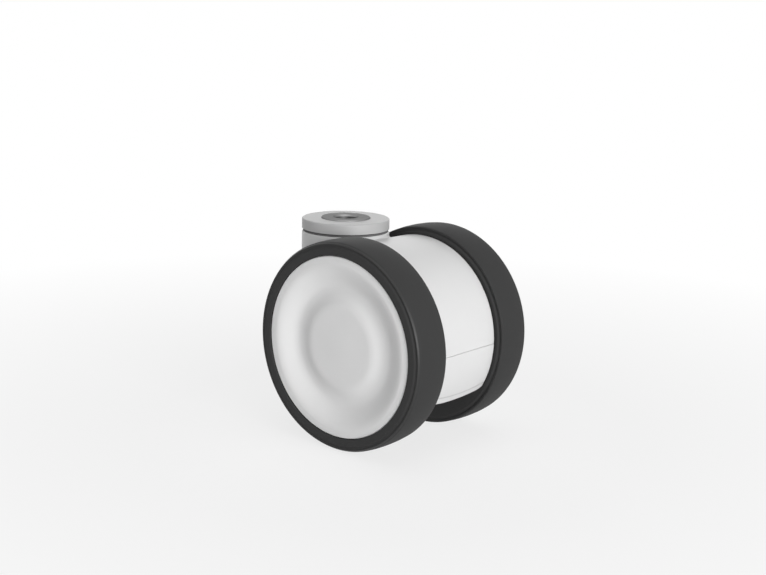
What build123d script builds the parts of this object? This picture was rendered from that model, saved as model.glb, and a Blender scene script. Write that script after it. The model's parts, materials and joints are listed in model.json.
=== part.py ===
from build123d import *
import math
import os

os.makedirs("parts", exist_ok=True)

# Twin-wheel swivel caster with a bolt hole fitting. All sizes are in millimetres.
# The origin is the centre of the steel bush's top face, on the swivel axis. +Z is up,
# the axle lies along Y, and the wheels trail the swivel axis towards +X.
# Left is the -Y side, which is on the left when the caster rolls towards -X.

# Steel stem with the bolt hole
bolt_hole_diameter = 8.4
bolt_hole_chamfer = 0.6
flange_diameter = 18.2
flange_thickness = 2.4
flange_chamfer = 0.3
stem_diameter = 12.0
shoulder_step = 1.2
stem_stub = 1.4
stem_chamfer = 0.5

# Top cap, clamped under the stem's flange
flange_proud = 0.4
top_cap_thickness = 3.7
top_cap_round = 0.5
dust_gap = 1.0
seal_ring_wall = 1.2
seal_ring_height = 2.1
seal_ring_setback = 0.3
seal_radial_gap = 0.6
seal_axial_gap = 0.4

# Swivel bearings and what holds them on the stem
swivel_bearing_diameter = 24.0
swivel_bearing_width = 6.0
swivel_ball_diameter = 2.8
swivel_ball_count = 11
bearing_recess = 0.5
bearing_spacing = 4.0
bearing_lip = 1.6
spacer_wall = 1.4
washer_thickness = 1.2
washer_wall = 1.6
stem_circlip_thickness = 1.0
stem_circlip_wall = 1.6
circlip_bite = 0.4
circlip_opening = 2.4
circlip_ear_diameter = 2.4
circlip_ear_hole = 1.2
circlip_ear_gap = 2.0

# Housing: neck, hood over the wheels' inner halves, and axle boss
neck_wall = 4.15
neck_chamfer = 0.4
neck_chamfer_share = 0.3
neck_blend = 0.8
neck_blend_share = 0.6
side_wall = 3.5
well_depth = 2.8
hood_wall = 2.4
cheek_wall = 2.4
hood_edge_round = 1.0
hood_top_drop = 5.5
axle_offset = 24.3
boss_wall = 4.4
boss_proud = 0.2
cheek_margin = 2.4
rib_thickness = 2.0
rib_count = 2
tower_skin = 3.4
tool_room = 8.5
wheel_side_gap = 0.45
wheel_relief = 1.0
underside_height = 6.8
underside_round = 5.0

# Front cover over the opening where a pedal would sit
seam_below_axle = 0.4
seam_gap = 0.15
cover_depth = 10.3
cover_wall = 2.0
cover_bottom_angle = 34.0
cover_bottom_bow = 2.0
cover_corner_radius = 4.5
cover_corner_overrun = 0.3
underside_tuck_angle = 8.0
bulkhead_wall = 2.25
hook_width = 4.0
hook_thickness = 1.6
hook_barb = 0.7
hook_nose = 1.8
hook_clearance = 0.15
hook_below_seam = 8.0

# Axle, its spacers and circlips
axle_diameter = 8.0
axle_chamfer = 0.4
axle_spacer_wall = 2.0
axle_circlip_thickness = 0.9
axle_circlip_wall = 1.8
axle_stub = 0.6

# Wheel bearings
wheel_bearing_diameter = 22.0
wheel_bearing_width = 7.0
wheel_ball_diameter = 3.97
wheel_ball_count = 7

# Wheels
wheel_radius = 37.5
tread_overhang = 3.2
tread_crown = 0.45
shoulder_round = 0.4
shoulder_inset = 0.17
shoulder_lip = 0.55
sidewall_groove = 1.5
sidewall_groove_depth = 0.55
sidewall_band = 2.6
tyre_lip = 2.4
lock_height = 1.5
lock_width = 5.0
core_setback = 0.4
core_rim_wall = 2.6
core_rim_relief = 0.8
core_web = 2.6
core_rib_thickness = 2.0
core_rib_setback = 1.2
core_rib_count = 8
rib_to_cap_gap = 0.5
hub_wall = 2.8
hub_setback = 2.45
hub_lip = 1.2
hub_lip_step = 1.4
hub_rim = 0.6

# Hub caps
hub_cap_gap = 0.14
hub_cap_inset = 0.37
hub_cap_wall = 1.8
hub_cap_room = 0.38
hub_cap_round = 0.4
dish_centre_depth = 1.5
dish_dome = 0.2
dish_valley_depth = 3.4
dish_plateau_step = 1.1
dish_rim_band = 2.56
dish_inner_ease = 0.5
dish_outer_ease = 0.31
hub_cap_rim_fall = 0.12
skirt_wall = 1.4
skirt_rib_gap = 0.5
skirt_gap = 0.05

# Two faces or edges closer than this are the same one
touch = 0.001

# Inside every ball bearing
ring_chamfer = 0.3
ball_clearance = 0.02
raceway_conformity = 1.04
raceway_depth_share = 0.3
shield_recess = 0.45
shield_thickness = 0.3
shield_setback = 0.3
shield_gap = 0.15
cage_width_share = 0.42
cage_pocket_gap = 0.05

# Heights down the swivel axis, worked out from the top
stem_radius = stem_diameter / 2
shoulder_radius = stem_radius + shoulder_step
flange_radius = flange_diameter / 2
top_cap_top = -flange_proud
top_cap_bottom = top_cap_top - top_cap_thickness
neck_top = top_cap_bottom - dust_gap
upper_bearing_top = neck_top - bearing_recess
upper_bearing_bottom = upper_bearing_top - swivel_bearing_width
lower_bearing_top = upper_bearing_bottom - bearing_spacing
lower_bearing_bottom = lower_bearing_top - swivel_bearing_width
washer_bottom = lower_bearing_bottom - washer_thickness
stem_circlip_bottom = washer_bottom - stem_circlip_thickness
stem_bottom = stem_circlip_bottom - stem_stub
tower_bottom = stem_bottom - well_depth

# Places of the neck, the hood and the wheels
pocket_radius = swivel_bearing_diameter / 2
neck_radius = pocket_radius + neck_wall
hood_half_width = pocket_radius + side_wall
cavity_half_width = hood_half_width - cheek_wall
hood_radius = wheel_radius - tread_overhang
axle_drop = hood_radius + hood_top_drop
axle_radius = axle_diameter / 2
boss_radius = axle_radius + boss_wall
boss_half_length = hood_half_width + boss_proud
axle_centre = Vector(axle_offset, 0, -axle_drop)
swivel_axis = Axis((0, 0, 0), (0, 0, 1))
axle_axis = Axis(axle_centre, (0, 1, 0))

# Places across a wheel, counted outwards along the axle from the middle of the caster
wheel_inner_face = hood_half_width + wheel_side_gap
wheel_bearing_inner_face = wheel_inner_face + hub_setback
wheel_bearing_outer_face = wheel_bearing_inner_face + wheel_bearing_width
axle_circlip_outer_face = wheel_bearing_outer_face + axle_circlip_thickness
axle_end = axle_circlip_outer_face + axle_stub
hub_cap_face = axle_end + hub_cap_room + hub_cap_wall + dish_centre_depth
hub_cap_seat = hub_cap_face - hub_cap_wall
wheel_outer_face = hub_cap_face + hub_cap_inset

# Radii of a wheel, from the tread inwards
tyre_shoulder_radius = wheel_radius - tread_crown
groove_outer_radius = tyre_shoulder_radius - shoulder_lip
groove_inner_radius = groove_outer_radius - sidewall_groove
hub_cap_recess_radius = groove_inner_radius - sidewall_band
core_radius = hub_cap_recess_radius - tyre_lip
core_rim_inner_radius = core_radius - core_rim_wall
wheel_bearing_radius = wheel_bearing_diameter / 2
hub_radius = wheel_bearing_radius + hub_wall


def finish(piece, label):
    piece.part.label = label
    export_step(piece.part, f"parts/{label}.step")


def swivel_profile_plane():
    # Local X runs out from the swivel axis, and local Y runs up it.
    return Plane.XZ


def axle_profile_plane(side):
    # Local X runs out from the axle, and local Y runs along it, outwards on that side.
    return Plane(origin=axle_centre, x_dir=(1, 0, 0), z_dir=(0, 0, side))


def make_ring(label, plane, axis, inner_radius, outer_radius, low, high):
    with BuildPart() as ring:
        with BuildSketch(plane):
            with BuildLine():
                Polyline(
                    (inner_radius, low),
                    (outer_radius, low),
                    (outer_radius, high),
                    (inner_radius, high),
                    close=True,
                )
            make_face()
        revolve(axis=axis)
    finish(ring, label)


def make_circlip(label, plane, inner_radius, outer_radius, thickness):
    # Two ears with holes for the pliers stand either side of the opening.
    ear_side = (circlip_ear_gap + circlip_ear_diameter) / 2
    ear_reach = math.sqrt(outer_radius**2 - ear_side**2)
    with BuildPart() as circlip:
        with BuildSketch(plane):
            Circle(outer_radius)
            Circle(inner_radius, mode=Mode.SUBTRACT)
            with Locations((outer_radius, 0)):
                Rectangle(outer_radius * 2 - inner_radius, circlip_opening, mode=Mode.SUBTRACT)
            with Locations((ear_reach, -ear_side), (ear_reach, ear_side)):
                Circle(circlip_ear_diameter / 2)
                Circle(circlip_ear_hole / 2, mode=Mode.SUBTRACT)
        extrude(amount=thickness)
    finish(circlip, label)


def make_bearing(label, profile_plane, axis, bore, diameter, middle, width, ball, count):
    # The middle is the bearing's place along its axis, in the profile plane's own Y.
    bore_radius = bore / 2
    outer_radius = diameter / 2
    ball_radius = ball / 2
    pitch_radius = (bore_radius + outer_radius) / 2
    raceway_radius = ball_radius * raceway_conformity
    inner_land = pitch_radius - ball_radius * (1 - raceway_depth_share)
    outer_land = pitch_radius + ball_radius * (1 - raceway_depth_share)
    inner_raceway_centre = pitch_radius - ball_radius - ball_clearance + raceway_radius
    outer_raceway_centre = pitch_radius + ball_radius + ball_clearance - raceway_radius
    shield_seat = outer_land + shield_recess
    low = middle - width / 2
    high = middle + width / 2
    shield_shelf = shield_setback + shield_thickness

    with BuildPart() as inner_ring:
        with BuildSketch(profile_plane):
            with BuildLine():
                Polyline(
                    (bore_radius + ring_chamfer, low),
                    (inner_land, low),
                    (inner_land, high),
                    (bore_radius + ring_chamfer, high),
                    (bore_radius, high - ring_chamfer),
                    (bore_radius, low + ring_chamfer),
                    close=True,
                )
            make_face()
            with Locations((inner_raceway_centre, middle)):
                Circle(raceway_radius, mode=Mode.SUBTRACT)
        revolve(axis=axis)
    finish(inner_ring, f"{label}_inner_ring")

    with BuildPart() as outer_ring:
        with BuildSketch(profile_plane):
            with BuildLine():
                Polyline(
                    (shield_seat, low),
                    (outer_radius - ring_chamfer, low),
                    (outer_radius, low + ring_chamfer),
                    (outer_radius, high - ring_chamfer),
                    (outer_radius - ring_chamfer, high),
                    (shield_seat, high),
                    (shield_seat, high - shield_shelf),
                    (outer_land, high - shield_shelf),
                    (outer_land, low + shield_shelf),
                    (shield_seat, low + shield_shelf),
                    close=True,
                )
            make_face()
            with Locations((outer_raceway_centre, middle)):
                Circle(raceway_radius, mode=Mode.SUBTRACT)
        revolve(axis=axis)
    finish(outer_ring, f"{label}_outer_ring")

    with BuildPart() as shields:
        for shield_low in (low + shield_setback, high - shield_shelf):
            with BuildSketch(profile_plane):
                with BuildLine():
                    Polyline(
                        (inner_land + shield_gap, shield_low),
                        (shield_seat, shield_low),
                        (shield_seat, shield_low + shield_thickness),
                        (inner_land + shield_gap, shield_low + shield_thickness),
                        close=True,
                    )
                make_face()
            revolve(axis=axis)
    finish(shields, f"{label}_shields")

    ball_plane = Plane(
        origin=profile_plane.from_local_coords((0, middle, 0)),
        x_dir=profile_plane.x_dir,
        z_dir=profile_plane.y_dir,
    )
    with BuildPart() as balls:
        with Locations(ball_plane):
            with PolarLocations(pitch_radius, count):
                Sphere(ball_radius)
    finish(balls, f"{label}_balls")

    cage_half_wall = ball_radius * cage_width_share
    cage_low = middle - ball_radius - cage_half_wall
    with BuildPart() as cage:
        with BuildSketch(profile_plane):
            with BuildLine():
                Polyline(
                    (pitch_radius - cage_half_wall, cage_low),
                    (pitch_radius + cage_half_wall, cage_low),
                    (pitch_radius + cage_half_wall, middle + cage_half_wall),
                    (pitch_radius - cage_half_wall, middle + cage_half_wall),
                    close=True,
                )
            make_face()
        revolve(axis=axis)
        with Locations(ball_plane):
            with PolarLocations(pitch_radius, count):
                Sphere(ball_radius + cage_pocket_gap, mode=Mode.SUBTRACT)
    finish(cage, f"{label}_cage")


# Stem: a turned steel bush with a flange on top, a shoulder over the upper bearing and
# a groove for the circlip that holds the bearings.
with BuildPart() as swivel_stem:
    with BuildSketch(swivel_profile_plane()):
        with BuildLine():
            Polyline(
                (bolt_hole_diameter / 2, stem_bottom + bolt_hole_chamfer),
                (bolt_hole_diameter / 2 + bolt_hole_chamfer, stem_bottom),
                (stem_radius - stem_chamfer, stem_bottom),
                (stem_radius, stem_bottom + stem_chamfer),
                (stem_radius, stem_circlip_bottom),
                (stem_radius - circlip_bite, stem_circlip_bottom),
                (stem_radius - circlip_bite, washer_bottom),
                (stem_radius, washer_bottom),
                (stem_radius, upper_bearing_top),
                (shoulder_radius, upper_bearing_top),
                (shoulder_radius, -flange_thickness),
                (flange_radius, -flange_thickness),
                (flange_radius, -flange_chamfer),
                (flange_radius - flange_chamfer, 0),
                (bolt_hole_diameter / 2 + bolt_hole_chamfer, 0),
                (bolt_hole_diameter / 2, -bolt_hole_chamfer),
                close=True,
            )
        make_face()
    revolve(axis=swivel_axis)
finish(swivel_stem, "swivel_stem")

# Top cap: a moulded disc with a groove underneath that the neck's seal ring runs in.
seal_ring_inner_radius = pocket_radius + seal_ring_setback
seal_ring_outer_radius = seal_ring_inner_radius + seal_ring_wall
seal_ring_top = neck_top + seal_ring_height
with BuildPart() as top_cap:
    with BuildSketch(swivel_profile_plane()):
        with BuildLine():
            Polyline(
                (shoulder_radius, top_cap_bottom),
                (seal_ring_inner_radius - seal_radial_gap, top_cap_bottom),
                (seal_ring_inner_radius - seal_radial_gap, seal_ring_top + seal_axial_gap),
                (seal_ring_outer_radius + seal_radial_gap, seal_ring_top + seal_axial_gap),
                (seal_ring_outer_radius + seal_radial_gap, top_cap_bottom),
                (neck_radius, top_cap_bottom),
                (neck_radius, top_cap_top),
                (flange_radius, top_cap_top),
                (flange_radius, -flange_thickness),
                (shoulder_radius, -flange_thickness),
                close=True,
            )
        make_face()
    revolve(axis=swivel_axis)
    rim_edges = top_cap.edges().filter_by(GeomType.CIRCLE).filter_by(lambda e: e.radius == neck_radius)
    fillet(rim_edges.sort_by(Axis.Z)[-1], radius=top_cap_round)
finish(top_cap, "top_cap")

make_ring(
    "swivel_spacer",
    swivel_profile_plane(),
    swivel_axis,
    stem_radius,
    stem_radius + spacer_wall,
    lower_bearing_top,
    upper_bearing_bottom,
)
make_ring(
    "stem_washer",
    swivel_profile_plane(),
    swivel_axis,
    stem_radius,
    stem_radius + washer_wall,
    washer_bottom,
    lower_bearing_bottom,
)
make_circlip(
    "stem_circlip",
    Plane.XY.offset(stem_circlip_bottom),
    stem_radius - circlip_bite,
    stem_radius - circlip_bite + stem_circlip_wall,
    stem_circlip_thickness,
)

for bearing_label, bearing_top in (
    ("upper_swivel", upper_bearing_top),
    ("lower_swivel", lower_bearing_top),
):
    make_bearing(
        bearing_label,
        swivel_profile_plane(),
        swivel_axis,
        stem_diameter,
        swivel_bearing_diameter,
        bearing_top - swivel_bearing_width / 2,
        swivel_bearing_width,
        swivel_ball_diameter,
        swivel_ball_count,
    )

# Housing: one moulding. Its side view is the hood's circle, cut off level with the axle
# where the front cover takes over, and below by a slanting edge that dips round the boss.
seam_height = -axle_drop - seam_below_axle
split_x = axle_offset + hood_radius - cover_depth
bulkhead_front = split_x - seam_gap
bulkhead_back = bulkhead_front - bulkhead_wall
beyond_hood = hood_radius * 2
underside_slope = math.tan(math.radians(cover_bottom_angle - underside_tuck_angle))
underside_front = -axle_drop - (bulkhead_front - axle_offset) * underside_slope
underside_rear = -axle_drop + underside_height
cheek_dip_radius = boss_radius + cheek_margin
cavity_radius = hood_radius - hood_wall
tower_radius = pocket_radius + tower_skin

# The neck stands only this far above the hood at its front, so its blend and its chamfer
# each take at most a share of that height.
neck_step = neck_top + axle_drop - math.sqrt(hood_radius**2 - (neck_radius - axle_offset) ** 2)
neck_blend_radius = min(neck_blend, neck_step * neck_blend_share)
neck_chamfer_length = min(neck_chamfer, neck_step * neck_chamfer_share)

# The ribs share the cavity's width evenly, and the cover's hooks run beside them.
rib_pitch = (2 * cavity_half_width + rib_thickness) / (rib_count + 1)
rib_places = [(i + 1) * rib_pitch - cavity_half_width - rib_thickness / 2 for i in range(rib_count)]
hook_place = (rib_places[-1] + rib_thickness / 2 + cavity_half_width) / 2
hook_top = seam_height - hook_below_seam

with BuildSketch() as side_view:
    with BuildLine():
        Polyline(
            (0, 0),
            (axle_offset + beyond_hood, 0),
            (axle_offset + beyond_hood, seam_height + seam_gap),
            (bulkhead_front, seam_height + seam_gap),
            (bulkhead_front, underside_front),
            (tool_room, underside_rear),
            (tool_room, tower_bottom),
            (0, tower_bottom),
            close=True,
        )
    make_face()
    with Locations((axle_offset, -axle_drop)):
        Circle(cheek_dip_radius)
    dip_corners = side_view.vertices().filter_by(
        lambda v: abs(math.hypot(v.X - axle_offset, v.Y + axle_drop) - cheek_dip_radius) < touch
    )
    fillet(dip_corners, radius=underside_round)
    with Locations((axle_offset, -axle_drop)):
        Circle(hood_radius, mode=Mode.INTERSECT)


def lies_on_hood_rim(edge):
    on_rim = abs(edge.radius - hood_radius) < touch
    on_side = abs(abs(edge.center().Y) - hood_half_width) < touch
    return on_rim and on_side


with BuildPart() as housing:
    with BuildSketch(Plane.XZ.offset(hood_half_width)):
        add(side_view.sketch)
    extrude(amount=-2 * hood_half_width)
    hood_rim = housing.edges().filter_by(GeomType.CIRCLE).filter_by(lies_on_hood_rim)
    fillet(hood_rim, radius=hood_edge_round)

    # Neck, standing on the hood's rear end and blended into it
    with BuildSketch(Plane.XY.offset(tower_bottom)):
        Circle(neck_radius)
    extrude(amount=neck_top - tower_bottom)
    neck_foot = housing.edges().filter_by(lambda e: e.geom_type not in (GeomType.CIRCLE, GeomType.LINE))
    fillet(neck_foot.filter_by(lambda e: e.center().Z > -axle_drop / 2), radius=neck_blend_radius)
    chamfer(housing.edges().filter_by(GeomType.CIRCLE).sort_by(Axis.Z)[-1], length=neck_chamfer_length)

    # The neck is wider than the hood, so it's cut back beside the wheels.
    for side in (-1, 1):
        with BuildSketch(Plane.XZ.offset(side * hood_half_width)):
            with Locations((axle_offset, -axle_drop)):
                Circle(wheel_radius + wheel_relief)
        extrude(amount=side * neck_wall, mode=Mode.SUBTRACT)

    # Hollow under the hood, open below, with a bulkhead left across its front
    with BuildSketch(Plane.XZ.offset(cavity_half_width)):
        with Locations((axle_offset, -axle_drop)):
            Circle(cavity_radius)
        with Locations((bulkhead_back - beyond_hood / 2, -axle_drop)):
            Rectangle(beyond_hood, beyond_hood, mode=Mode.INTERSECT)
    extrude(amount=-2 * cavity_half_width, mode=Mode.SUBTRACT)

    # Ribs from the tower to the bulkhead, the tower itself, and the axle boss
    for rib_place in rib_places:
        with BuildSketch(Plane.XZ.offset(-rib_place + rib_thickness / 2)):
            add(side_view.sketch)
            with Locations((axle_offset, -axle_drop)):
                Circle((hood_radius + cavity_radius) / 2, mode=Mode.INTERSECT)
        extrude(amount=-rib_thickness)
    with BuildSketch(Plane.XY.offset(tower_bottom)):
        Circle(tower_radius)
    extrude(amount=upper_bearing_top - tower_bottom)
    with BuildSketch(Plane.XZ.offset(boss_half_length)):
        with Locations((axle_offset, -axle_drop)):
            Circle(boss_radius)
    extrude(amount=-2 * boss_half_length)

    # Bearing seats from above and below, with a lip left between them
    with BuildSketch(Plane.XY.offset(upper_bearing_bottom)):
        Circle(pocket_radius)
    extrude(amount=neck_top - upper_bearing_bottom, mode=Mode.SUBTRACT)
    with BuildSketch(Plane.XY.offset(tower_bottom)):
        Circle(pocket_radius)
    extrude(amount=lower_bearing_top - tower_bottom, mode=Mode.SUBTRACT)
    with BuildSketch(Plane.XY.offset(lower_bearing_top)):
        Circle(pocket_radius - bearing_lip)
    extrude(amount=bearing_spacing, mode=Mode.SUBTRACT)

    # Seal ring round the upper bearing, which runs in the top cap's groove
    with BuildSketch(Plane.XY.offset(neck_top)):
        Circle(seal_ring_outer_radius)
        Circle(seal_ring_inner_radius, mode=Mode.SUBTRACT)
    extrude(amount=seal_ring_height)

    # Axle hole, and the slots that the front cover's hooks snap through
    with BuildSketch(Plane.XZ.offset(boss_half_length)):
        with Locations((axle_offset, -axle_drop)):
            Circle(axle_radius)
    extrude(amount=-2 * boss_half_length, mode=Mode.SUBTRACT)
    hook_middle = hook_top - hook_thickness / 2
    with BuildSketch(Plane.YZ.offset(bulkhead_back)):
        with Locations((-hook_place, hook_middle), (hook_place, hook_middle)):
            Rectangle(hook_width + 2 * hook_clearance, hook_thickness + 2 * hook_clearance)
    extrude(amount=bulkhead_wall, mode=Mode.SUBTRACT)
finish(housing, "housing")

# Front cover: a curved, hollow lid with a bowed lower edge, held by two snap hooks.
cover_edge_plane = Plane(
    origin=axle_centre,
    x_dir=(0, 1, 0),
    z_dir=(
        math.cos(math.radians(cover_bottom_angle)),
        0,
        -math.sin(math.radians(cover_bottom_angle)),
    ),
)


def add_cover_front_view(edge_height):
    # The cover seen square to its lower edge, a little wider than it is, so that the round
    # corners run out through its sides. The open BuildLine takes the lines.
    half_width = hood_half_width + cover_corner_overrun
    Polyline(
        (-half_width, edge_height + cover_bottom_bow),
        (-half_width, beyond_hood),
        (half_width, beyond_hood),
        (half_width, edge_height + cover_bottom_bow),
    )
    ThreePointArc(
        (-half_width, edge_height + cover_bottom_bow),
        (0, edge_height),
        (half_width, edge_height + cover_bottom_bow),
    )


with BuildPart() as cover_hollow:
    with BuildSketch(Plane.XZ.offset(hood_half_width - cover_wall)):
        with Locations((axle_offset, -axle_drop)):
            Circle(hood_radius - cover_wall)
        with Locations((split_x + beyond_hood / 2 - touch, seam_height - cover_wall - beyond_hood / 2)):
            Rectangle(beyond_hood, beyond_hood, mode=Mode.INTERSECT)
    extrude(amount=-2 * (hood_half_width - cover_wall))
    with BuildSketch(cover_edge_plane):
        with BuildLine():
            add_cover_front_view(cover_wall)
        make_face()
    extrude(amount=beyond_hood, mode=Mode.INTERSECT)

with BuildPart() as front_cover:
    with BuildSketch(Plane.XZ.offset(hood_half_width)):
        with Locations((axle_offset, -axle_drop)):
            Circle(hood_radius)
        with Locations((split_x + beyond_hood / 2, seam_height - beyond_hood / 2)):
            Rectangle(beyond_hood, beyond_hood, mode=Mode.INTERSECT)
    extrude(amount=-2 * hood_half_width)
    cover_rim = front_cover.edges().filter_by(GeomType.CIRCLE).filter_by(lies_on_hood_rim)
    fillet(cover_rim, radius=hood_edge_round)
    with BuildSketch(cover_edge_plane):
        with BuildLine():
            add_cover_front_view(0)
        make_face()
        fillet(vertices().sort_by(Axis.Y)[:2], radius=cover_corner_radius)
    extrude(amount=beyond_hood, mode=Mode.INTERSECT)
    add(cover_hollow.part, mode=Mode.SUBTRACT)

    # Hooks, each a flat arm with a sloping barb behind the bulkhead
    barb_front = bulkhead_back - hook_clearance
    hook_root = axle_offset + math.sqrt(
        (hood_radius - cover_wall / 2) ** 2 - (hook_top - hook_thickness + axle_drop) ** 2
    )
    for hook_y in (-hook_place, hook_place):
        with BuildSketch(Plane.XZ.offset(-hook_y + hook_width / 2)):
            with BuildLine():
                Polyline(
                    (hook_root, hook_top - hook_thickness),
                    (hook_root, hook_top),
                    (barb_front, hook_top),
                    (barb_front, hook_top + hook_barb),
                    (barb_front - hook_nose, hook_middle),
                    (barb_front - hook_nose, hook_top - hook_thickness),
                    close=True,
                )
            make_face()
        extrude(amount=-hook_width)
finish(front_cover, "front_cover")

# Axle: a pin pressed through the boss, with a circlip groove near each end.
axle_groove_radius = axle_radius - circlip_bite
with BuildPart() as axle:
    with BuildSketch(axle_profile_plane(1)):
        with BuildLine():
            Polyline(
                (0, -axle_end),
                (axle_radius - axle_chamfer, -axle_end),
                (axle_radius, -axle_end + axle_chamfer),
                (axle_radius, -axle_circlip_outer_face),
                (axle_groove_radius, -axle_circlip_outer_face),
                (axle_groove_radius, -wheel_bearing_outer_face),
                (axle_radius, -wheel_bearing_outer_face),
                (axle_radius, wheel_bearing_outer_face),
                (axle_groove_radius, wheel_bearing_outer_face),
                (axle_groove_radius, axle_circlip_outer_face),
                (axle_radius, axle_circlip_outer_face),
                (axle_radius, axle_end - axle_chamfer),
                (axle_radius - axle_chamfer, axle_end),
                (0, axle_end),
                close=True,
            )
        make_face()
    revolve(axis=axle_axis)
finish(axle, "axle")

# Shared shape of the two wheels
wheel_middle = (wheel_inner_face + wheel_outer_face) / 2
lock_low = wheel_middle - lock_width / 2
lock_high = wheel_middle + lock_width / 2
core_inner_face = wheel_inner_face + core_setback
web_low = (wheel_inner_face + hub_cap_seat - core_web) / 2
web_high = web_low + core_web
hub_inner_face = wheel_bearing_inner_face - hub_lip
hub_outer_face = wheel_bearing_outer_face + hub_rim
hub_lip_radius = wheel_bearing_radius - hub_lip_step
core_rib_low = core_inner_face + core_rib_setback
core_rib_high = hub_cap_face - dish_valley_depth - hub_cap_wall - rib_to_cap_gap
skirt_low = core_rib_high + skirt_rib_gap
hub_cap_radius = hub_cap_recess_radius - hub_cap_gap
plateau_radius = hub_radius - dish_plateau_step
crest_radius = hub_cap_radius - dish_rim_band
valley_radius = (hub_radius + core_rim_inner_radius) / 2
skirt_radius = core_rim_inner_radius - skirt_gap
groove_middle_radius = (groove_inner_radius + groove_outer_radius) / 2


def add_smooth_step(start, end, ease):
    # An S curve, level at both ends and straighter in the middle the smaller its ease is.
    # The open BuildLine takes it.
    reach = (end[0] - start[0]) * ease
    Bezier(start, (start[0] + reach, start[1]), (end[0] - reach, end[1]), end)


def add_dish(face):
    # The hub cap's dished surface, from its centre out to the crest near its rim.
    centre = (0, face - dish_centre_depth)
    plateau = (plateau_radius, face - dish_centre_depth - dish_dome)
    valley = (valley_radius, face - dish_valley_depth)
    crest = (crest_radius, face)
    add_smooth_step(centre, plateau, dish_inner_ease)
    add_smooth_step(plateau, valley, dish_inner_ease)
    add_smooth_step(valley, crest, dish_outer_ease)


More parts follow.
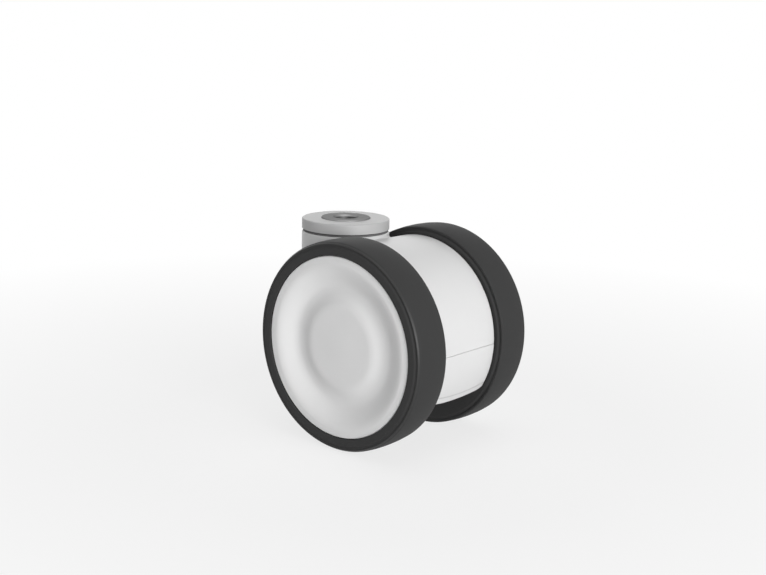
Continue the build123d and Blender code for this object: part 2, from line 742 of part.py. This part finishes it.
def make_wheel(name, side):
    profile_plane = axle_profile_plane(side)

    # Tyre, moulded round the core and locked by a ridge
    with BuildPart() as tyre:
        with BuildSketch(profile_plane):
            with BuildLine():
                Polyline(
                    (groove_inner_radius, wheel_inner_face),
                    (core_radius, wheel_inner_face),
                    (core_radius, lock_low),
                    (core_radius + lock_height, lock_low),
                    (core_radius + lock_height, lock_high),
                    (core_radius, lock_high),
                    (core_radius, hub_cap_seat),
                    (hub_cap_recess_radius, hub_cap_seat),
                    (hub_cap_recess_radius, wheel_outer_face),
                    (groove_inner_radius, wheel_outer_face),
                )
                ThreePointArc(
                    (groove_inner_radius, wheel_outer_face),
                    (groove_middle_radius, wheel_outer_face - sidewall_groove_depth),
                    (groove_outer_radius, wheel_outer_face - shoulder_inset),
                )
                Line(
                    (groove_outer_radius, wheel_outer_face - shoulder_inset),
                    (tyre_shoulder_radius, wheel_outer_face - shoulder_inset),
                )
                ThreePointArc(
                    (tyre_shoulder_radius, wheel_outer_face - shoulder_inset),
                    (wheel_radius, wheel_middle),
                    (tyre_shoulder_radius, wheel_inner_face + shoulder_inset),
                )
                Line(
                    (tyre_shoulder_radius, wheel_inner_face + shoulder_inset),
                    (groove_outer_radius, wheel_inner_face + shoulder_inset),
                )
                ThreePointArc(
                    (groove_outer_radius, wheel_inner_face + shoulder_inset),
                    (groove_middle_radius, wheel_inner_face + sidewall_groove_depth),
                    (groove_inner_radius, wheel_inner_face),
                )
            make_face()
            fillet(vertices().sort_by(Axis.X)[-2:], radius=shoulder_round)
        revolve(axis=axle_axis)
    finish(tyre, f"{name}_tyre")

    # Core: rim, web and hub in one moulding, stiffened by radial ribs
    with BuildPart() as core:
        with BuildSketch(profile_plane):
            with BuildLine():
                Polyline(
                    (hub_lip_radius, hub_inner_face),
                    (hub_radius, hub_inner_face),
                    (hub_radius, web_low),
                    (core_rim_inner_radius, web_low),
                    (core_rim_inner_radius, core_inner_face),
                    (core_radius, core_inner_face),
                    (core_radius, lock_low),
                    (core_radius + lock_height, lock_low),
                    (core_radius + lock_height, lock_high),
                    (core_radius, lock_high),
                    (core_radius, hub_cap_seat),
                    (crest_radius, hub_cap_seat),
                    (crest_radius, hub_cap_seat - core_rim_relief),
                    (core_rim_inner_radius, hub_cap_seat - core_rim_relief),
                    (core_rim_inner_radius, web_high),
                    (hub_radius, web_high),
                    (hub_radius, hub_outer_face),
                    (wheel_bearing_radius, hub_outer_face),
                    (wheel_bearing_radius, wheel_bearing_inner_face),
                    (hub_lip_radius, wheel_bearing_inner_face),
                    close=True,
                )
            make_face()
        revolve(axis=axle_axis)
        rib_overlap = core_rim_wall / 2
        rib_length = core_rim_inner_radius - hub_radius + 2 * rib_overlap
        with BuildSketch(Plane(origin=axle_centre + Vector(0, side * core_rib_low, 0), z_dir=(0, side, 0))):
            with PolarLocations(hub_radius - rib_overlap + rib_length / 2, core_rib_count):
                Rectangle(rib_length, core_rib_thickness)
        extrude(amount=core_rib_high - core_rib_low)
    finish(core, f"{name}_wheel_core")

    # Hub cap: a dished disc with a skirt that presses into the core's rim
    with BuildPart() as hub_cap:
        with BuildSketch(profile_plane):
            with BuildLine():
                add_dish(hub_cap_face)
                Polyline(
                    (crest_radius, hub_cap_face),
                    (hub_cap_radius, hub_cap_face - hub_cap_rim_fall),
                    (hub_cap_radius, hub_cap_seat),
                    (crest_radius, hub_cap_seat),
                )
                add_dish(hub_cap_seat)
                Line((0, hub_cap_seat - dish_centre_depth), (0, hub_cap_face - dish_centre_depth))
            make_face()
            fillet(vertices().sort_by(Axis.X)[-2:].sort_by(Axis.Y)[-1], radius=hub_cap_round)
            with BuildLine():
                Polyline(
                    (skirt_radius - skirt_wall, skirt_low),
                    (skirt_radius, skirt_low),
                    (skirt_radius, hub_cap_seat),
                    (skirt_radius - skirt_wall, hub_cap_seat),
                    close=True,
                )
            make_face()
        revolve(axis=axle_axis)
    finish(hub_cap, f"{name}_hub_cap")

    make_bearing(
        f"{name}_wheel",
        profile_plane,
        axle_axis,
        axle_diameter,
        wheel_bearing_diameter,
        (wheel_bearing_inner_face + wheel_bearing_outer_face) / 2,
        wheel_bearing_width,
        wheel_ball_diameter,
        wheel_ball_count,
    )
    make_ring(
        f"{name}_axle_spacer",
        profile_plane,
        axle_axis,
        axle_radius,
        axle_radius + axle_spacer_wall,
        boss_half_length,
        wheel_bearing_inner_face,
    )
    make_circlip(
        f"{name}_axle_circlip",
        Plane(origin=axle_centre + Vector(0, side * wheel_bearing_outer_face, 0), z_dir=(0, side, 0)),
        axle_groove_radius,
        axle_groove_radius + axle_circlip_wall,
        axle_circlip_thickness,
    )


for wheel_name, wheel_side in (("left", -1), ("right", 1)):
    make_wheel(wheel_name, wheel_side)
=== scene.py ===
import json
import math

import bmesh
import bpy
from mathutils import Matrix, Vector


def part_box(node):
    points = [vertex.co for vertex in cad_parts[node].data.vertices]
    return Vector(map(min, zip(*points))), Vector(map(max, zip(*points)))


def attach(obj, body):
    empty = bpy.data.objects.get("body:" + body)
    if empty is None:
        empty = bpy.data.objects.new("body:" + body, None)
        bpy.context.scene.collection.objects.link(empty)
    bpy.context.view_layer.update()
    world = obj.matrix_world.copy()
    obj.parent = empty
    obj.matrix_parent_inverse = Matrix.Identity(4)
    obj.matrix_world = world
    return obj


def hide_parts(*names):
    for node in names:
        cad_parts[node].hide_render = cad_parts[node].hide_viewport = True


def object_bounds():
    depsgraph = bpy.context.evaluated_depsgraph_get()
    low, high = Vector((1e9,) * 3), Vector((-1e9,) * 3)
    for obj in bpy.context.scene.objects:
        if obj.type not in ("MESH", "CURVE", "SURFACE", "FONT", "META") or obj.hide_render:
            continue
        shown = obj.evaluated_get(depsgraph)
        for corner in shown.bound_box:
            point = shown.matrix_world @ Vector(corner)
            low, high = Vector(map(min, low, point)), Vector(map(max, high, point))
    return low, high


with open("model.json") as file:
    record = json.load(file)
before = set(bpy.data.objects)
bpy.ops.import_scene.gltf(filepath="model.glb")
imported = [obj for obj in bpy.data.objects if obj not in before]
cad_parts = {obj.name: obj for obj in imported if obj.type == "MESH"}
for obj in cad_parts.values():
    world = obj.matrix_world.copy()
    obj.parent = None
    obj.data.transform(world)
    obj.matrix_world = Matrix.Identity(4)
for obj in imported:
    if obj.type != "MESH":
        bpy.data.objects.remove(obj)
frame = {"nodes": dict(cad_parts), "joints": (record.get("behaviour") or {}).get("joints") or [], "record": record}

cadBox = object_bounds()
mm = 0.001
joints = {joint["name"]: joint for joint in frame["joints"]}
axleCentre = Vector(joints["left_wheel_spin"]["pos_m"])
print("frame loaded,", len(frame["nodes"]), "nodes")


# Camera, at the photograph's viewing angle. The lens is in mm, places are in m, angles in degrees.
cameraSetup = {
    "focalLength": 61.785,
    "sensorWidth": 36.0,
    "nearLimit": 0.01,
    "place": (0.321754, -0.355846, 0.079678),
    "turn": 40.41,
    "lookDown": 12.489,
    "roll": 1.338,
}


def addCamera(setup):
    camera = bpy.data.objects.new("camera", bpy.data.cameras.new("camera"))
    camera.data.lens = setup["focalLength"]
    camera.data.sensor_width = setup["sensorWidth"]
    camera.data.clip_start = setup["nearLimit"]
    turn = Matrix.Rotation(math.radians(setup["turn"]), 4, "Z")
    tilt = Matrix.Rotation(math.radians(90 - setup["lookDown"]), 4, "X")
    roll = Matrix.Rotation(math.radians(setup["roll"]), 4, "Z")
    camera.matrix_world = Matrix.Translation(setup["place"]) @ turn @ tilt @ roll
    bpy.context.scene.collection.objects.link(camera)
    bpy.context.scene.camera = camera


addCamera(cameraSetup)
bpy.context.scene.view_settings.view_transform = "Standard"


class Wire:
    # A node socket that plain maths works on. Each operator adds one Math node.
    def __init__(self, tree, socket):
        self.tree = tree
        self.socket = socket

    def maths(self, operation, first, second):
        node = self.tree.nodes.new("ShaderNodeMath")
        node.operation = operation
        for socket, value in zip(node.inputs, (first, second)):
            feed(self.tree, socket, value)
        return Wire(self.tree, node.outputs[0])

    def __add__(self, other):
        return self.maths("ADD", self, other)

    def __radd__(self, other):
        return self.maths("ADD", other, self)

    def __sub__(self, other):
        return self.maths("SUBTRACT", self, other)

    def __rsub__(self, other):
        return self.maths("SUBTRACT", other, self)

    def __mul__(self, other):
        return self.maths("MULTIPLY", self, other)

    def __rmul__(self, other):
        return self.maths("MULTIPLY", other, self)

    def __truediv__(self, other):
        return self.maths("DIVIDE", self, other)

    def __rtruediv__(self, other):
        return self.maths("DIVIDE", other, self)

    def __pow__(self, other):
        return self.maths("POWER", self, other)

    def __rpow__(self, other):
        return self.maths("POWER", other, self)

    def orMore(self, other):
        return self.maths("MAXIMUM", self, other)


def feed(tree, socket, value):
    # A wire is linked to the socket, and anything else is set on it.
    if isinstance(value, Wire):
        tree.links.new(value.socket, socket)
    else:
        socket.default_value = value


class Graph:
    # A node tree. node() is how every node but the plain maths is added.
    def __init__(self, tree):
        self.tree = tree

    def node(self, kind, settings, sockets, output=0):
        made = self.tree.nodes.new(kind)
        for setting, value in settings.items():
            setattr(made, setting, value)
        for socketName, value in sockets.items():
            feed(self.tree, made.inputs[socketName], value)
        return Wire(self.tree, made.outputs[output])

    def whereSeen(self):
        # 1 for a ray straight from the camera or by way of metal or glass, else 0
        seen, mirrored, through = (
            self.node("ShaderNodeLightPath", {}, {}, f"Is {kind} Ray")
            for kind in ("Camera", "Glossy", "Transmission")
        )
        return seen.orMore(mirrored).orMore(through)


class Finish(Graph):
    # A material with its Principled shader
    def __init__(self, name, **shaderValues):
        self.material = bpy.data.materials.new(name)
        self.material.use_nodes = True
        super().__init__(self.material.node_tree)
        self.shader = self.tree.nodes["Principled BSDF"]
        self.output = self.tree.nodes["Material Output"]
        self.place = self.node("ShaderNodeTexCoord", {}, {}, "Object")
        for socketName, value in shaderValues.items():
            self.set(socketName.replace("_", " "), value)

    def set(self, socketName, value):
        feed(self.tree, self.shader.inputs[socketName], value)

    def noise(self, perMetre, detail, roughness=0.5):
        sockets = {"Vector": self.place, "Scale": perMetre, "Detail": detail, "Roughness": roughness}
        return self.node("ShaderNodeTexNoise", {}, sockets, "Fac")

    def blend(self, mask, first, second):
        sockets = {0: mask, 6: first, 7: second}
        return self.node("ShaderNodeMix", {"data_type": "RGBA"}, sockets, 2)

    def bump(self, height, strength, distance):
        sockets = {"Height": height, "Strength": strength, "Distance": distance}
        self.set("Normal", self.node("ShaderNodeBump", {}, sockets, "Normal"))

    def near(self, value, target, reach):
        # 1 where the value is within reach of the target, else 0
        return self.node("ShaderNodeMath", {"operation": "COMPARE"}, {0: value, 1: target, 2: reach})

    def parts(self):
        # The place along X, Y and Z as three wires
        return [self.node("ShaderNodeSeparateXYZ", {}, {0: self.place}, axis) for axis in range(3)]

    def radius(self, axis):
        # How far from the swivel axis (Z) or from the axle (Y)
        x, y, z = self.parts()
        across, up = (x, y) if axis == "Z" else (x - axleCentre.x, z - axleCentre.z)
        return (across * across + up * up) ** 0.5


def grey(level):
    # A plain grey from a display level of 0 to 255
    share = level / 255
    linear = share / 12.92 if share <= 0.04045 else ((share + 0.055) / 1.055) ** 2.4
    return (linear, linear, linear, 1)


plasticLook = {
    # grey level, roughness and index of refraction
    "housing": (218, 0.42, 1.55),
    "hubCap": (228, 0.5, 1.46),
    "topCap": (180, 0.46, 1.5),
    "core": (66, 0.5, 1.5),
    "cage": (215, 0.5, 1.5),
    "variation": 3,
    "driftPerMetre": 45,
    "driftDulling": 0.12,
    "grainPerMetre": 2600,
    "grainCoarseness": 0.6,
    "grainDulling": 0.08,
    "grainDepth": 0.012 * mm,
    "noiseDetail": 3.0,
    "bumpStrength": 0.5,
}


def mouldedPlastic(name, lip=None):
    # Textured moulded plastic: a fine spark-eroded grain and a slow drift in tone and gloss
    level, roughness, refraction = plasticLook[name]
    variation, detail = plasticLook["variation"], plasticLook["noiseDetail"]
    finish = Finish(name + "Plastic", IOR=refraction)
    drift = finish.noise(plasticLook["driftPerMetre"], detail)
    colour = finish.blend(drift, grey(level - variation), grey(level + variation))
    grain = finish.noise(plasticLook["grainPerMetre"], detail, plasticLook["grainCoarseness"])
    dulling = plasticLook["driftDulling"] * (drift - 0.5) + plasticLook["grainDulling"] * (grain - 0.5)
    finish.set("Roughness", roughness + dulling)
    height = grain * plasticLook["grainDepth"]
    if lip is not None:
        rise, paintedShadeLine = lip(finish)
        height = height + rise
        # Painted shade: the base colour is made darker along the cover's step, where the groove is in shade.
        colour = finish.blend(paintedShadeLine, colour, grey(level - coverLip["paintedShadeLevels"]))
    finish.set("Base Color", colour)
    finish.bump(height, plasticLook["bumpStrength"], 1.0)
    return finish.material


coverLip = {
    "edgeAngle": 34.0,    # the cover's lower edge, seen from the side
    "halfWidth": 15.8 * mm,
    "bow": 2.0 * mm,
    "upFromEdge": 2.8 * mm,
    "softness": 0.25 * mm,
    "depth": 0.2 * mm,
    # reach and grey levels of the painted shade along the step
    "paintedShadeReach": 0.3 * mm,
    "paintedShadeLevels": 20,
}


def coverPlastic(name):
    # The housing's plastic, with the shallow step along the cover's lower edge and a faint stroke of painted shade
    # along that step
    def lip(finish):
        x, y, z = finish.parts()
        slope = math.radians(coverLip["edgeAngle"])
        up = (x - axleCentre.x) * math.sin(slope) + (z - axleCentre.z) * math.cos(slope)
        share = y / coverLip["halfWidth"]
        fromEdge = up - share * share * coverLip["bow"]
        limits = {
            "Value": fromEdge,
            "From Min": coverLip["upFromEdge"] - coverLip["softness"],
            "From Max": coverLip["upFromEdge"] + coverLip["softness"],
        }
        step = finish.node("ShaderNodeMapRange", {"interpolation_type": "SMOOTHSTEP"}, limits)
        # Painted shade: a narrow band along the step, darkened in the base colour
        paintedShadeLine = finish.near(fromEdge, coverLip["upFromEdge"], coverLip["paintedShadeReach"])
        return step * coverLip["depth"], paintedShadeLine

    return mouldedPlastic(name, lip)


rubberLook = {
    # grey levels
    "tyre": 49,
    # this grey is painted shade for the gap under the top cap
    "seal": 104,
    "variation": 3,
    "roughness": 0.72,
    "specular": 0.24,
    "cloudPerMetre": 70,
    "cloudDetail": 4.0,
    "cloudDulling": 0.15,
    "grainPerMetre": 1500,
    "grainDetail": 3.0,
    "grainCoarseness": 0.6,
    "grainDepth": 0.02 * mm,
    "bumpStrength": 0.6,
    "polishedRadius": 36.55 * mm,
    "polishedReach": 0.3 * mm,
    "polish": 0.3,
}


def darkRubber(name):
    # Dark polyurethane or rubber with a dull, slightly uneven skin
    look = rubberLook
    finish = Finish(name + "Rubber", IOR=1.5, Specular_IOR_Level=look["specular"])
    cloud = finish.noise(look["cloudPerMetre"], look["cloudDetail"])
    deep, pale = grey(look[name] - look["variation"]), grey(look[name] + look["variation"])
    finish.set("Base Color", finish.blend(cloud, deep, pale))
    dull = look["roughness"] + look["cloudDulling"] * (cloud - 0.5)
    if name == "tyre":
        # The shoulder next to the tread is rubbed smoother than the rest.
        shoulder = finish.near(finish.radius("Y"), look["polishedRadius"], look["polishedReach"])
        dull = dull - shoulder * look["polish"]
    finish.set("Roughness", dull)
    grain = finish.noise(look["grainPerMetre"], look["grainDetail"], look["grainCoarseness"])
    finish.bump(grain, look["bumpStrength"], look["grainDepth"])
    return finish.material


steelLook = {
    # grey level, roughness and how much of the shine is left at a grazing angle
    "zincPlated": (137, 0.38, 0.28),
    "turned": (172, 0.3, 1.0),
    "spring": (72, 0.4, 1.0),
    "bearing": (196, 0.16, 1.0),
    "shield": (182, 0.3, 1.0),
    "variation": 10,
    "ringsPerMetre": 9000.0,
    "ringDetail": 2.0,
    "ringDulling": 0.2,
    "ringDepth": 0.01 * mm,
    "cloudPerMetre": 160,
    "cloudDetail": 3.0,
    "cloudDulling": 0.1,
    "bumpStrength": 0.25,
    "boltBoreRadius": 4.8 * mm,
    "boltBoreRoughness": 0.42,
}


def turnedSteel(name, axis):
    # Steel with fine turning rings round the swivel axis or the axle
    level, roughness, grazing = steelLook[name]
    variation = steelLook["variation"]
    tint = (grazing, grazing, grazing, 1)
    finish = Finish(f"{name}Steel{axis}", Metallic=1.0, Specular_Tint=tint)
    radius = finish.radius(axis)
    sockets = {"W": radius, "Scale": steelLook["ringsPerMetre"], "Detail": steelLook["ringDetail"]}
    rings = finish.node("ShaderNodeTexNoise", {"noise_dimensions": "1D"}, sockets, "Fac")
    cloud = finish.noise(steelLook["cloudPerMetre"], steelLook["cloudDetail"])
    finish.set("Base Color", finish.blend(cloud, grey(level - variation), grey(level + variation)))
    dulling = steelLook["ringDulling"] * (rings - 0.5) + steelLook["cloudDulling"] * (cloud - 0.5)
    dull = roughness + dulling
    if name == "zincPlated":
        # The bolt hole is drilled, and its wall is duller than the turned faces.
        edge = {0: radius, 1: steelLook["boltBoreRadius"]}
        inBore = finish.node("ShaderNodeMath", {"operation": "LESS_THAN"}, edge)
        dull = dull + inBore * (steelLook["boltBoreRoughness"] - roughness)
    finish.set("Roughness", dull)
    finish.bump(rings, steelLook["bumpStrength"], steelLook["ringDepth"])
    return finish.material


# One finish per slot, for parts round the axle (Y) and round the swivel axis (Z)
housingFinish = mouldedPlastic("housing")
cageFinish = mouldedPlastic("cage")
finishes = {
    "housing_plastic": {"Y": housingFinish, "Z": housingFinish},
    "hub_cap_plastic": {"Y": mouldedPlastic("hubCap")},
    "tyre_rubber": {"Y": darkRubber("tyre")},
    "core_nylon": {"Y": mouldedPlastic("core")},
    "cage_nylon": {"Y": cageFinish, "Z": cageFinish},
    "zinc_plated_steel": {axis: turnedSteel("zincPlated", axis) for axis in "YZ"},
    "turned_steel": {axis: turnedSteel("turned", axis) for axis in "YZ"},
    "spring_steel": {axis: turnedSteel("spring", axis) for axis in "YZ"},
    "bearing_steel": {axis: turnedSteel("bearing", axis) for axis in "YZ"},
    "shield_steel": {axis: turnedSteel("shield", axis) for axis in "YZ"},
}

for entry in frame["record"]["subparts"]:
    name = entry["node"]
    axis = "Z" if "swivel" in name or name.startswith("stem") else "Y"
    for slot in frame["nodes"][name].material_slots:
        slot.material = finishes[entry["material_slot"]][axis]
frame["nodes"]["top_cap"].material_slots[0].material = mouldedPlastic("topCap")
frame["nodes"]["front_cover"].material_slots[0].material = coverPlastic("housing")
print("finishes assigned")


turning = {
    "roundSteps": 3,
    "mergeDistance": 0.0001 * mm,
    "sharpAngle": 35,
}


class Section:
    # A closed outline in a wheel's or the neck's radial plane, turned into a solid of revolution
    def __init__(self, centre, axis, outward):
        self.shape = bmesh.new()
        self.centre = Vector(centre)
        self.axis = Vector(axis)
        self.outward = Vector(outward)

    def outline(self, points):
        # Each point has its radius, its place along the axis and the size of its round
        rounds = []
        for radius, along, size in points:
            place = self.centre + self.outward * radius + self.axis * along
            rounds.append((self.shape.verts.new(place), size))
        bmesh.ops.contextual_create(self.shape, geom=[corner for corner, size in rounds])
        for corner, size in rounds:
            if size:
                bmesh.ops.bevel(self.shape, geom=[corner], offset=size, offset_type="OFFSET",
                                segments=turning["roundSteps"], profile=0.5, affect="VERTICES",
                                material=-1)
        bmesh.ops.delete(self.shape, geom=self.shape.faces[:], context="FACES_ONLY")

    def turn(self, name, steps):
        bmesh.ops.spin(self.shape, geom=self.shape.verts[:] + self.shape.edges[:], cent=self.centre,
                       axis=self.axis, angle=math.tau, steps=steps, use_merge=True)
        bmesh.ops.remove_doubles(self.shape, verts=self.shape.verts[:], dist=turning["mergeDistance"])
        bmesh.ops.recalc_face_normals(self.shape, faces=self.shape.faces[:])
        mesh = bpy.data.meshes.new(name)
        self.shape.to_mesh(mesh)
        self.shape.free()
        mesh.shade_smooth()
        mesh.set_sharp_from_angle(angle=math.radians(turning["sharpAngle"]))
        piece = bpy.data.objects.new(name, mesh)
        bpy.context.scene.collection.objects.link(piece)
        return piece


# Tyres, with a finer sidewall than the solids have
tyreShape = {
    "steps": 160,
    # in mm: down from the tread, in from the wheel's face, size of the round
    "outerSidewall": (
        (2.55, 0.0, 0.2),
        (2.05, 0.5, 0.2),
        (1.5, 0.55, 0.2),
        (1.05, 0.2, 0.15),
        (0.38, 1.23, 0.3),
    ),
    "innerSidewall": (
        (2.55, 0.0, 0.2),
        (2.05, 0.5, 0.2),
        (1.5, 0.55, 0.2),
        (1.05, 0.2, 0.15),
        (0.45, 0.22, 0.3),
    ),
    "treadQuarter": (0.1, 4.0),
    "capGap": 0.14,
    "coreOverlap": 2.4,
    "recessDepth": 2.17,
    "edgeRound": 0.12,
}


def addTyre(name, side):
    low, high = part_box(name)
    treadRadius = (high[2] - low[2]) / 2
    innerFace, outerFace = sorted((abs(low[1]), abs(high[1])))
    capLow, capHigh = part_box(name.replace("tyre", "hub_cap"))
    recessRadius = (capHigh[2] - capLow[2]) / 2 + tyreShape["capGap"] * mm
    coreRadius = recessRadius - tyreShape["coreOverlap"] * mm
    seat = outerFace - tyreShape["recessDepth"] * mm
    down, inward = tyreShape["treadQuarter"]
    points = [
        (coreRadius, innerFace, 0),
        (coreRadius, seat, 0),
        (recessRadius, seat, 0),
        (recessRadius, outerFace, tyreShape["edgeRound"] * mm),
    ]
    for drop, depth, size in tyreShape["outerSidewall"]:
        points.append((treadRadius - drop * mm, outerFace - depth * mm, size * mm))
    points.append((treadRadius - down * mm, outerFace - inward * mm, 0))
    points.append((treadRadius, (innerFace + outerFace) / 2, 0))
    points.append((treadRadius - down * mm, innerFace + inward * mm, 0))
    for drop, depth, size in reversed(tyreShape["innerSidewall"]):
        points.append((treadRadius - drop * mm, innerFace + depth * mm, size * mm))
    section = Section((axleCentre.x, 0, axleCentre.z), (0, side, 0), (0, 0, -1))
    section.outline(points)
    tyre = section.turn(name + "_detailed", tyreShape["steps"])
    tyre.data.materials.append(finishes["tyre_rubber"]["Y"])
    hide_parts(name)
    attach(tyre, name.replace("tyre", "wheel"))


addTyre("left_tyre", -1)
addTyre("right_tyre", 1)
print("tyres made")


# Dust seal, a dark rubber lip on the neck that fills the gap under the top cap; its dark tone is painted shade for
# that shaded gap
dustSealAndShade = {
    "steps": 128,
    # in mm: radius, height above the neck, size of the round
    "section": (
        (13.55, 0.0, 0),
        (15.75, 0.0, 0),
        (15.65, 0.6, 0.15),
        (15.0, 0.85, 0.15),
        (13.55, 0.85, 0),
    ),
    "neckTop": -5.1 * mm,
}


def addDustSealAndShade():
    section = Section((0, 0, dustSealAndShade["neckTop"]), (0, 0, 1), (1, 0, 0))
    section.outline([(radius * mm, up * mm, size * mm) for radius, up, size in dustSealAndShade["section"]])
    seal = section.turn("dust_seal_and_shade", dustSealAndShade["steps"])
    # Painted shade: the dark rubber ring stands in for the shade in the gap under the top cap.
    seal.data.materials.append(darkRubber("seal"))
    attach(seal, "fork")


addDustSealAndShade()
print("dust seal made")


# Floor and light
studio = {
    "floorRadius": 3.0,
    "floorSteps": 96,
    "floorGrey": 235,
    "floorRoughness": 0.9,
    "fadeDistances": (0.1, 0.35),    # from the axle's middle
    "fadeNear": 0.75,
    "worldLevel": 0.23,
    "lamps": (
        # name, place, size in m, power in W
        ("key", (1.05, -0.46, 0.03), 0.8, 17.6),
        ("fill", (-0.5, -1.0, 0.2), 0.8, 0.7),
        ("overhead", (0.1, 0.0, 1.1), 0.8, 2.2),
        ("behind", (-0.8, 0.85, 0.45), 0.8, 2.2),
    ),
}


def addFloor(level):
    shape = bmesh.new()
    steps, radius = studio["floorSteps"], studio["floorRadius"]
    bmesh.ops.create_circle(shape, cap_ends=True, segments=steps, radius=radius)
    bmesh.ops.translate(shape, verts=shape.verts, vec=(0, 0, level))
    mesh = bpy.data.meshes.new("floor")
    shape.to_mesh(mesh)
    shape.free()
    floor = bpy.data.objects.new("floor", mesh)
    bpy.context.scene.collection.objects.link(floor)
    finish = Finish("floorPaper", Roughness=studio["floorRoughness"])
    finish.set("Base Color", grey(studio["floorGrey"]))
    white = finish.node("ShaderNodeEmission", {}, {"Strength": 1.0})
    # Away from the caster the paper is plain white, and round it the shadow shows faintly.
    ends = {0: finish.place, 1: tuple(axleCentre)}
    distance = finish.node("ShaderNodeVectorMath", {"operation": "DISTANCE"}, ends, "Value")
    nearest, farthest = studio["fadeDistances"]
    limits = {"Value": distance, "From Min": nearest, "From Max": farthest, "To Min": studio["fadeNear"]}
    fade = finish.node("ShaderNodeMapRange", {}, limits)
    surfaces = {0: fade * finish.whereSeen(), 1: Wire(finish.tree, finish.shader.outputs[0]), 2: white}
    mixed = finish.node("ShaderNodeMixShader", {}, surfaces)
    feed(finish.tree, finish.output.inputs["Surface"], mixed)
    mesh.materials.append(finish.material)


def addWorld(level):
    world = bpy.data.worlds.new("studio")
    bpy.context.scene.world = world
    world.use_nodes = True
    graph = Graph(world.node_tree)
    background = world.node_tree.nodes["Background"]
    feed(graph.tree, background.inputs["Color"], (1, 1, 1, 1))
    feed(graph.tree, background.inputs["Strength"], level + (1 - level) * graph.whereSeen())


def addLamp(name, place, size, power):
    lamp = bpy.data.objects.new(name, bpy.data.lights.new(name, "AREA"))
    lamp.data.size = size
    lamp.data.energy = power
    aim = (axleCentre - Vector(place)).to_track_quat("-Z", "Y")
    lamp.matrix_world = Matrix.Translation(place) @ aim.to_matrix().to_4x4()
    bpy.context.scene.collection.objects.link(lamp)


addFloor(cadBox[0][2])
addWorld(studio["worldLevel"])
for lamp in studio["lamps"]:
    addLamp(*lamp)
print("studio ready")
